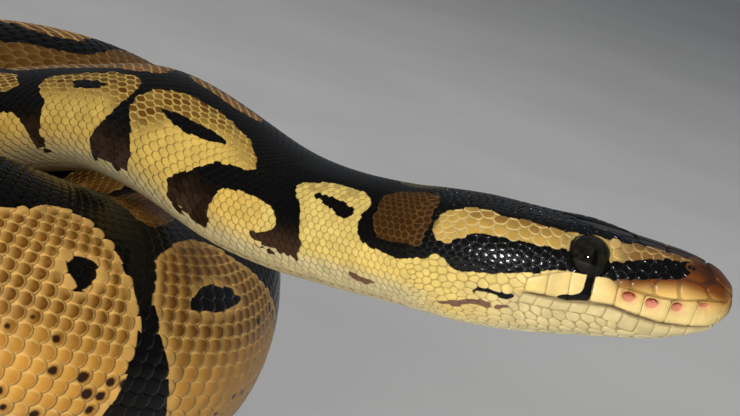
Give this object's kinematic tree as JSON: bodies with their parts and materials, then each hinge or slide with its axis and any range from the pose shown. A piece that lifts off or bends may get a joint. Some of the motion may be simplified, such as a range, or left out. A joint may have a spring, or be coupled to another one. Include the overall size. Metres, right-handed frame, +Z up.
{
  "type": "coiled ball python",
  "caption": "Life-size coiled ball python resting in a round two-layer pile, with the head and neck reaching out over the top coil.",
  "frame": {"origin": "on the floor under the middle of the model's bounding box", "axes": "+Z up from the floor, +X along the longest side, the way the head points, +Y towards the animal's left side of the head"},
  "size_m": [0.2736, 0.1904, 0.1381],
  "materials": {
    "head": "satin to glossy overlapping scales, black with golden-brown blotches",
    "lower_jaw": "satin cream scales",
    "eye_left": "wet gloss, clear spectacle over a dark olive iris with a slit pupil",
    "eye_right": "wet gloss, clear spectacle over a dark olive iris with a slit pupil",
    "neck": "satin to glossy overlapping scales, black with golden-brown blotches",
    "forebody": "satin to glossy overlapping scales, black with golden-brown blotches",
    "trunk_1": "satin to glossy overlapping scales, black with golden-brown blotches",
    "trunk_2": "satin to glossy overlapping scales, black with golden-brown blotches",
    "trunk_3": "satin to glossy overlapping scales, black with golden-brown blotches",
    "trunk_4": "satin to glossy overlapping scales, black with golden-brown blotches",
    "trunk_5": "satin to glossy overlapping scales, black with golden-brown blotches",
    "trunk_6": "satin to glossy overlapping scales, black with golden-brown blotches",
    "trunk_7": "satin to glossy overlapping scales, black with golden-brown blotches",
    "trunk_8": "satin to glossy overlapping scales, black with golden-brown blotches",
    "trunk_9": "satin to glossy overlapping scales, black with golden-brown blotches",
    "trunk_10": "satin to glossy overlapping scales, black with golden-brown blotches",
    "trunk_11": "satin to glossy overlapping scales, black with golden-brown blotches",
    "trunk_12": "satin to glossy overlapping scales, black with golden-brown blotches",
    "tail_base": "satin to glossy overlapping scales, black with golden-brown blotches",
    "tail_tip": "satin to glossy overlapping scales, black with golden-brown blotches"
  },
  "bodies": {
    "root": {"head": "head", "lower_jaw": "lower_jaw", "eye_left": "eye_left", "eye_right": "eye_right", "neck": "neck", "forebody": "forebody", "trunk_1": "trunk_1", "trunk_2": "trunk_2", "trunk_3": "trunk_3", "trunk_4": "trunk_4", "trunk_5": "trunk_5", "trunk_6": "trunk_6", "trunk_7": "trunk_7", "trunk_8": "trunk_8", "trunk_9": "trunk_9", "trunk_10": "trunk_10", "trunk_11": "trunk_11", "trunk_12": "trunk_12", "tail_base": "tail_base", "tail_tip": "tail_tip"}
  },
  "joints": []
}
